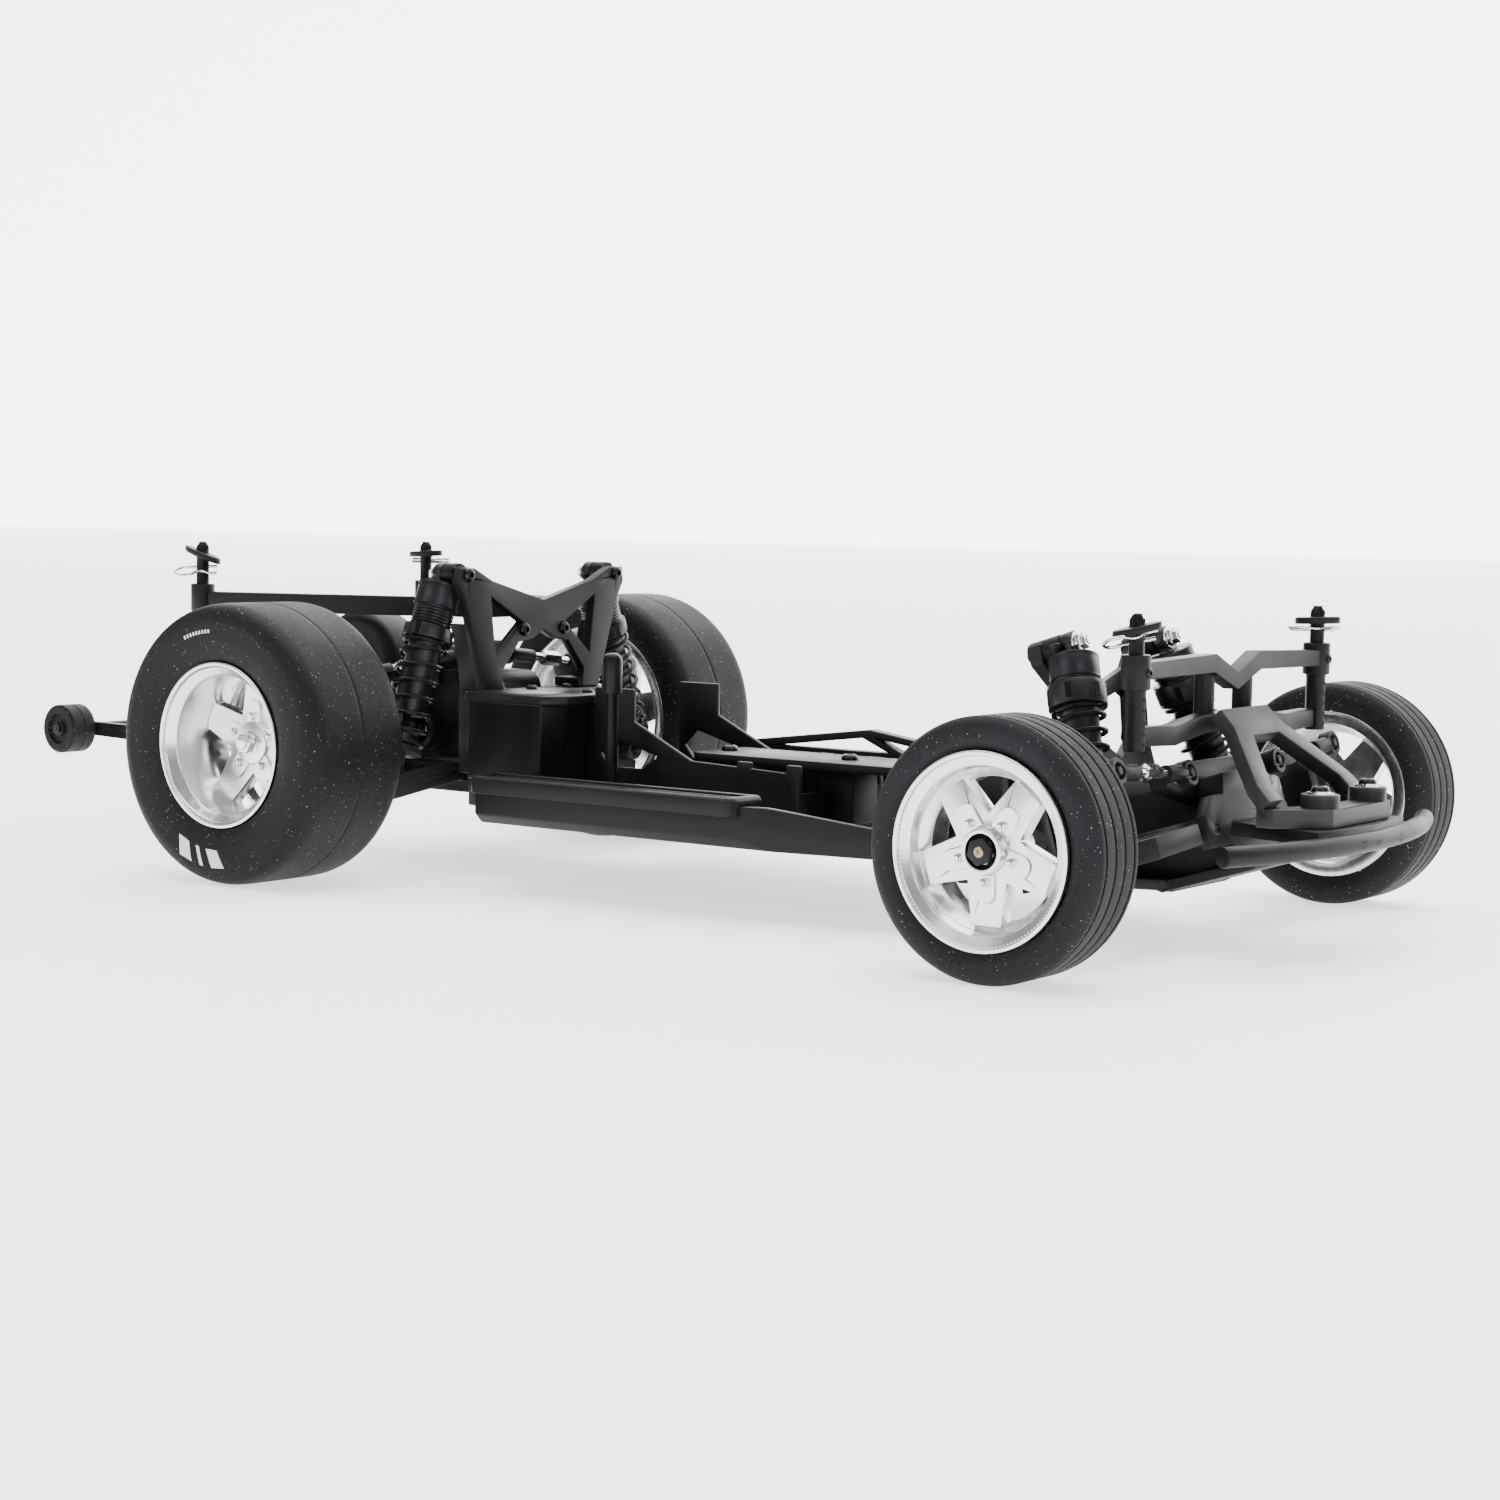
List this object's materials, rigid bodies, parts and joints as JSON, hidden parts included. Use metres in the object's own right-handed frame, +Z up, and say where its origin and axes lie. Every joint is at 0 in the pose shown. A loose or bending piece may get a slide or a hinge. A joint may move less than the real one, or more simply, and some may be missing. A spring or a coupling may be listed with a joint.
{
  "type": "remote control drag car chassis",
  "caption": "Rolling chassis of a two-wheel-drive remote control drag car without its shell: sprung arms, oil dampers, steering, tall rear slicks and a wheelie bar.",
  "frame": {"origin": "on the ground at the middle of the bounding box", "axes": "+X towards the front bumper, +Y to the car's left, +Z up"},
  "size_m": [0.61, 0.268, 0.1254],
  "materials": {
    "tyre": "matte",
    "rim": "satin",
    "plastic": "satin",
    "grey_plastic": "satin",
    "shock": "anodised",
    "steel": "satin",
    "spring": "gloss",
    "can": "satin",
    "gear": "satin",
    "case": "gloss"
  },
  "bodies": {
    "chassis": {"chassis_tub": "plastic", "battery_straps": "plastic", "side_guards": "plastic", "gearbox_case": "plastic", "gear_cover": "grey_plastic", "motor": "can", "rear_shock_tower": "plastic", "body_mounts": "grey_plastic", "front_bulkhead": "plastic", "front_shock_tower": "plastic", "fasteners": "steel", "bumper_brace": "grey_plastic", "front_bumper": "plastic", "steering_servo": "case", "receiver_box": "case", "antenna_mast": "plastic", "wheelie_bar": "plastic", "front_shock_body_left": "shock", "front_spring_left": "spring", "front_shock_body_right": "shock", "front_spring_right": "spring"},
    "steering_rack": {"steering_rack": "plastic"},
    "servo_horn": {"servo_horn": "plastic"},
    "front_arm_left": {"front_arm_left": "plastic"},
    "caster_left": {"caster_block_left": "plastic"},
    "knuckle_left": {"steering_knuckle_left": "plastic"},
    "front_wheel_left": {"front_rim_left": "rim", "front_tyre_left": "tyre"},
    "front_link_left": {"front_camber_link_left": "plastic"},
    "tie_rod_left": {"tie_rod_left": "plastic"},
    "front_rod_left": {"front_shock_rod_left": "steel"},
    "rear_arm_left": {"rear_arm_left": "plastic"},
    "rear_hub_left": {"rear_hub_left": "plastic"},
    "rear_wheel_left": {"rear_rim_left": "rim", "rear_tyre_left": "tyre"},
    "rear_link_left": {"rear_camber_link_left": "plastic"},
    "rear_shock_left": {"rear_shock_body_left": "shock", "rear_spring_left": "spring"},
    "rear_rod_left": {"rear_shock_rod_left": "steel"},
    "half_shaft_left": {"half_shaft_left": "steel"},
    "front_arm_right": {"front_arm_right": "plastic"},
    "caster_right": {"caster_block_right": "plastic"},
    "knuckle_right": {"steering_knuckle_right": "plastic"},
    "front_wheel_right": {"front_rim_right": "rim", "front_tyre_right": "tyre"},
    "front_link_right": {"front_camber_link_right": "plastic"},
    "tie_rod_right": {"tie_rod_right": "plastic"},
    "front_rod_right": {"front_shock_rod_right": "steel"},
    "rear_arm_right": {"rear_arm_right": "plastic"},
    "rear_hub_right": {"rear_hub_right": "plastic"},
    "rear_wheel_right": {"rear_rim_right": "rim", "rear_tyre_right": "tyre"},
    "rear_link_right": {"rear_camber_link_right": "plastic"},
    "rear_shock_right": {"rear_shock_body_right": "shock", "rear_spring_right": "spring"},
    "rear_rod_right": {"rear_shock_rod_right": "steel"},
    "half_shaft_right": {"half_shaft_right": "steel"},
    "wheelie_wheels": {"wheelie_wheels": "tyre"},
    "spur": {"spur_gear": "gear"},
    "pinion": {"pinion_gear": "steel"}
  },
  "joints": [
    {"name": "front_arm_hinge_left", "type": "hinge", "parent": "chassis", "child": "front_arm_left", "pos_m": [0.23711, 0.024, 0.03402], "axis": [0.9537, 0, 0.3007], "range_deg": [-9, 4.5], "stiffness_Nm_per_rad": 3, "springref_deg": -2.16},
    {"name": "caster_pivot_left", "type": "hinge", "parent": "front_arm_left", "child": "caster_left", "pos_m": [0.23831, 0.084, 0.03021], "axis": [0.9537, 0, 0.3007], "range_deg": [-3.3, 6.5]},
    {"name": "steer_left", "type": "hinge", "parent": "caster_left", "child": "knuckle_left", "pos_m": [0.235, 0.1, 0.0407], "axis": [-0.3007, 0, 0.9537], "range_deg": [-18, 18]},
    {"name": "front_spin_left", "type": "hinge", "parent": "knuckle_left", "child": "front_wheel_left", "pos_m": [0.235, 0.12, 0.0407], "axis": [0, 1, 0], "continuous": true},
    {"name": "front_link_pivot_left", "type": "hinge", "parent": "chassis", "child": "front_link_left", "pos_m": [0.25038, 0.032, 0.05844], "axis": [0.9537, 0, 0.3007], "range_deg": [-11.44, 5.77]},
    {"name": "front_rod_slide_left", "type": "slide", "parent": "chassis", "child": "front_rod_left", "axis": [-0.2893, -0.2727, 0.9176], "range_m": [-0.00432, 0.00221], "deforming": ["front_spring_left"]},
    {"name": "rear_arm_hinge_left", "type": "hinge", "parent": "chassis", "child": "rear_arm_left", "pos_m": [-0.095, 0.024, 0.038], "axis": [1, 0, 0], "range_deg": [-8, 8], "stiffness_Nm_per_rad": 6, "springref_deg": -2.54},
    {"name": "hub_pivot_left", "type": "hinge", "parent": "rear_arm_left", "child": "rear_hub_left", "pos_m": [-0.095, 0.08, 0.032], "axis": [1, 0, 0], "range_deg": [-8.1, 8.1]},
    {"name": "rear_spin_left", "type": "hinge", "parent": "rear_hub_left", "child": "rear_wheel_left", "pos_m": [-0.095, 0.108, 0.0522], "axis": [0, 1, 0], "continuous": true},
    {"name": "rear_link_pivot_left", "type": "hinge", "parent": "chassis", "child": "rear_link_left", "pos_m": [-0.082, 0.014, 0.082], "axis": [1, 0, 0], "range_deg": [-8.1, 8.1]},
    {"name": "rear_shock_pivot_left", "type": "hinge", "parent": "chassis", "child": "rear_shock_left", "pos_m": [-0.0622, 0.0444, 0.115], "axis": [1, 0, 0], "range_deg": [-1.45, 1.45]},
    {"name": "rear_rod_slide_left", "type": "slide", "parent": "rear_shock_left", "child": "rear_rod_left", "axis": [0, -0.3495, 0.937], "range_m": [-0.00652, 0.00652], "deforming": ["rear_spring_left"]},
    {"name": "half_shaft_spin_left", "type": "hinge", "parent": "rear_arm_left", "child": "half_shaft_left", "pos_m": [-0.095, 0.042, 0.0522], "axis": [0, 1, 0], "continuous": true},
    {"name": "front_arm_hinge_right", "type": "hinge", "parent": "chassis", "child": "front_arm_right", "pos_m": [0.23711, -0.024, 0.03402], "axis": [-0.9537, 0, -0.3007], "range_deg": [-9, 4.5], "stiffness_Nm_per_rad": 3, "springref_deg": -2.16},
    {"name": "caster_pivot_right", "type": "hinge", "parent": "front_arm_right", "child": "caster_right", "pos_m": [0.23831, -0.084, 0.03021], "axis": [-0.9537, 0, -0.3007], "range_deg": [-3.3, 6.5]},
    {"name": "steer_right", "type": "hinge", "parent": "caster_right", "child": "knuckle_right", "pos_m": [0.235, -0.1, 0.0407], "axis": [-0.3007, 0, 0.9537], "range_deg": [-18.1, 18.1]},
    {"name": "front_spin_right", "type": "hinge", "parent": "knuckle_right", "child": "front_wheel_right", "pos_m": [0.235, -0.12, 0.0407], "axis": [0, 1, 0], "continuous": true},
    {"name": "front_link_pivot_right", "type": "hinge", "parent": "chassis", "child": "front_link_right", "pos_m": [0.25038, -0.032, 0.05844], "axis": [-0.9537, 0, -0.3007], "range_deg": [-11.44, 5.77]},
    {"name": "front_rod_slide_right", "type": "slide", "parent": "chassis", "child": "front_rod_right", "axis": [-0.2893, 0.2727, 0.9176], "range_m": [-0.00432, 0.00221], "deforming": ["front_spring_right"]},
    {"name": "rear_arm_hinge_right", "type": "hinge", "parent": "chassis", "child": "rear_arm_right", "pos_m": [-0.095, -0.024, 0.038], "axis": [-1, 0, 0], "range_deg": [-8, 8], "stiffness_Nm_per_rad": 6, "springref_deg": -2.54},
    {"name": "hub_pivot_right", "type": "hinge", "parent": "rear_arm_right", "child": "rear_hub_right", "pos_m": [-0.095, -0.08, 0.032], "axis": [-1, 0, 0], "range_deg": [-8.1, 8.1]},
    {"name": "rear_spin_right", "type": "hinge", "parent": "rear_hub_right", "child": "rear_wheel_right", "pos_m": [-0.095, -0.108, 0.0522], "axis": [0, 1, 0], "continuous": true},
    {"name": "rear_link_pivot_right", "type": "hinge", "parent": "chassis", "child": "rear_link_right", "pos_m": [-0.082, -0.014, 0.082], "axis": [-1, 0, 0], "range_deg": [-8.1, 8.1]},
    {"name": "rear_shock_pivot_right", "type": "hinge", "parent": "chassis", "child": "rear_shock_right", "pos_m": [-0.0622, -0.0444, 0.115], "axis": [-1, 0, 0], "range_deg": [-1.45, 1.45]},
    {"name": "rear_rod_slide_right", "type": "slide", "parent": "rear_shock_right", "child": "rear_rod_right", "axis": [0, 0.3495, 0.937], "range_m": [-0.00652, 0.00652], "deforming": ["rear_spring_right"]},
    {"name": "half_shaft_spin_right", "type": "hinge", "parent": "rear_arm_right", "child": "half_shaft_right", "pos_m": [-0.095, -0.042, 0.0522], "axis": [0, 1, 0], "continuous": true},
    {"name": "rack_slide", "type": "slide", "parent": "chassis", "child": "steering_rack", "axis": [0, -1, 0], "range_m": [-0.0082, 0.0082]},
    {"name": "horn_turn", "type": "hinge", "parent": "chassis", "child": "servo_horn", "pos_m": [0.197, 0, 0.052], "axis": [-1, 0, 0], "range_deg": [-26.8, 26.8]},
    {"name": "tie_rod_pivot_left", "type": "hinge", "parent": "steering_rack", "child": "tie_rod_left", "pos_m": [0.20975, 0.014, 0.03641], "axis": [0.9537, 0, 0.3007], "range_deg": [-6.85, 3.47]},
    {"name": "tie_rod_pivot_right", "type": "hinge", "parent": "steering_rack", "child": "tie_rod_right", "pos_m": [0.20975, -0.014, 0.03641], "axis": [-0.9537, 0, -0.3007], "range_deg": [-6.85, 3.47]},
    {"name": "wheelie_spin", "type": "hinge", "parent": "chassis", "child": "wheelie_wheels", "pos_m": [-0.2945, 0, 0.0417], "axis": [0, 1, 0], "continuous": true},
    {"name": "spur_spin", "type": "hinge", "parent": "chassis", "child": "spur", "pos_m": [-0.118, -0.027, 0.078], "axis": [0, 1, 0], "continuous": true},
    {"name": "pinion_spin", "type": "hinge", "parent": "chassis", "child": "pinion", "pos_m": [-0.13858, -0.0275, 0.06751], "axis": [0, 1, 0], "continuous": true}
  ],
  "couplings": [
    {"joint": "caster_pivot_left", "follows": "front_arm_hinge_left", "ratio": -0.71155},
    {"joint": "front_link_pivot_left", "follows": "front_arm_hinge_left", "ratio": 1.2603},
    {"joint": "front_rod_slide_left", "follows": "front_arm_hinge_left", "m_per_rad": 0.026846},
    {"joint": "hub_pivot_left", "follows": "rear_arm_hinge_left", "ratio": -1},
    {"joint": "rear_link_pivot_left", "follows": "rear_arm_hinge_left", "ratio": 1},
    {"joint": "rear_shock_pivot_left", "follows": "rear_arm_hinge_left", "ratio": 0.17523},
    {"joint": "rear_rod_slide_left", "follows": "rear_arm_hinge_left", "m_per_rad": 0.045968},
    {"joint": "half_shaft_spin_left", "follows": "rear_spin_left", "ratio": 1},
    {"joint": "caster_pivot_right", "follows": "front_arm_hinge_right", "ratio": -0.71155},
    {"joint": "steer_right", "follows": "steer_left", "ratio": 1},
    {"joint": "front_link_pivot_right", "follows": "front_arm_hinge_right", "ratio": 1.2603},
    {"joint": "front_rod_slide_right", "follows": "front_arm_hinge_right", "m_per_rad": 0.026846},
    {"joint": "hub_pivot_right", "follows": "rear_arm_hinge_right", "ratio": -1},
    {"joint": "rear_link_pivot_right", "follows": "rear_arm_hinge_right", "ratio": 1},
    {"joint": "rear_shock_pivot_right", "follows": "rear_arm_hinge_right", "ratio": 0.17523},
    {"joint": "rear_rod_slide_right", "follows": "rear_arm_hinge_right", "m_per_rad": 0.045968},
    {"joint": "half_shaft_spin_right", "follows": "rear_spin_right", "ratio": 1},
    {"joint": "rack_slide", "follows": "steer_left", "m_per_rad": 0.025574},
    {"joint": "horn_turn", "follows": "steer_left", "ratio": 1.4728},
    {"joint": "tie_rod_pivot_left", "follows": "front_arm_hinge_left", "ratio": 0.7498},
    {"joint": "tie_rod_pivot_right", "follows": "front_arm_hinge_right", "ratio": 0.7498},
    {"joint": "pinion_spin", "follows": "spur_spin", "ratio": -3.0526}
  ]
}
